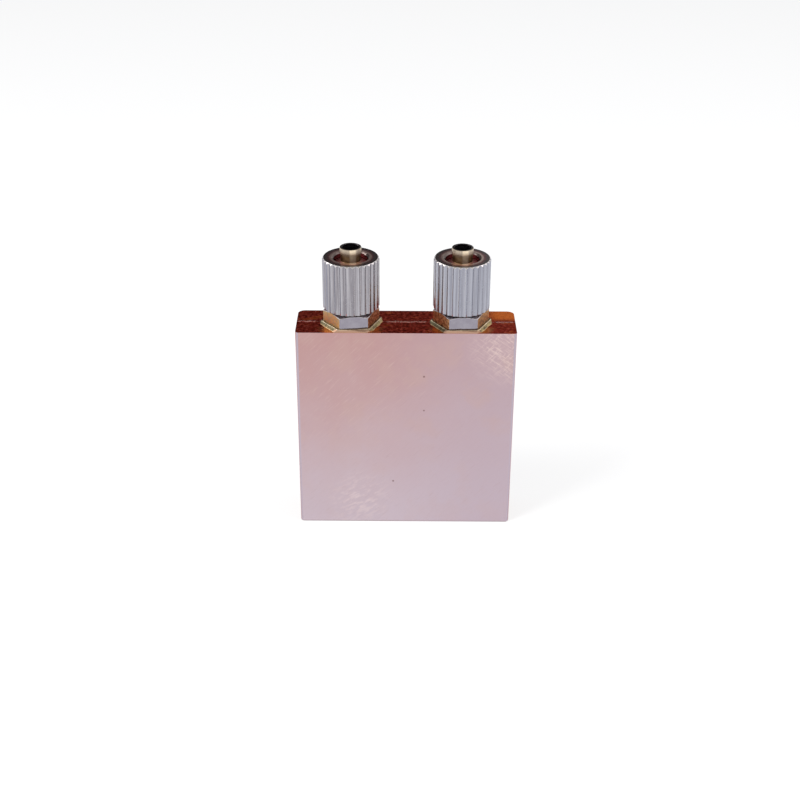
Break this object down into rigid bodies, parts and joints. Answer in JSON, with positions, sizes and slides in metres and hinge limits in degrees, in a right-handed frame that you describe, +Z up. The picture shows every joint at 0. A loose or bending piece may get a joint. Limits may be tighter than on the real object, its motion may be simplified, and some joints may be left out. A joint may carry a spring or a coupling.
{
  "type": "liquid cooling cold plate",
  "caption": "Small square copper cold plate brazed from two milled halves, with two knurled compression hose fittings standing on its top edge.",
  "frame": {"origin": "middle of the block's bottom edge face, where it stands", "axes": "+Z up from the bottom edge to the ports, +X from the inlet to the outlet, -Y out of the polished contact face"},
  "size_m": [0.04, 0.0102, 0.0546],
  "materials": {
    "polished_copper": "satin",
    "braze": "satin",
    "seam_braze": "satin",
    "nickel_plate": "gloss",
    "nickel_knurl": "satin"
  },
  "bodies": {
    "block": {"front_plate": "polished_copper", "rear_plate": "polished_copper", "braze_seam": "seam_braze", "inlet_fitting": "nickel_plate", "outlet_fitting": "nickel_plate", "inlet_fillet": "braze", "outlet_fillet": "braze"},
    "inlet_clamp": {"inlet_nut": "nickel_knurl"},
    "outlet_clamp": {"outlet_nut": "nickel_knurl"}
  },
  "joints": [
    {"name": "inlet_nut_unscrew", "type": "slide", "parent": "block", "child": "inlet_clamp", "axis": [0, 0, 1], "range_m": [0, 0.0125]},
    {"name": "outlet_nut_unscrew", "type": "slide", "parent": "block", "child": "outlet_clamp", "axis": [0, 0, 1], "range_m": [0, 0.0125]}
  ]
}
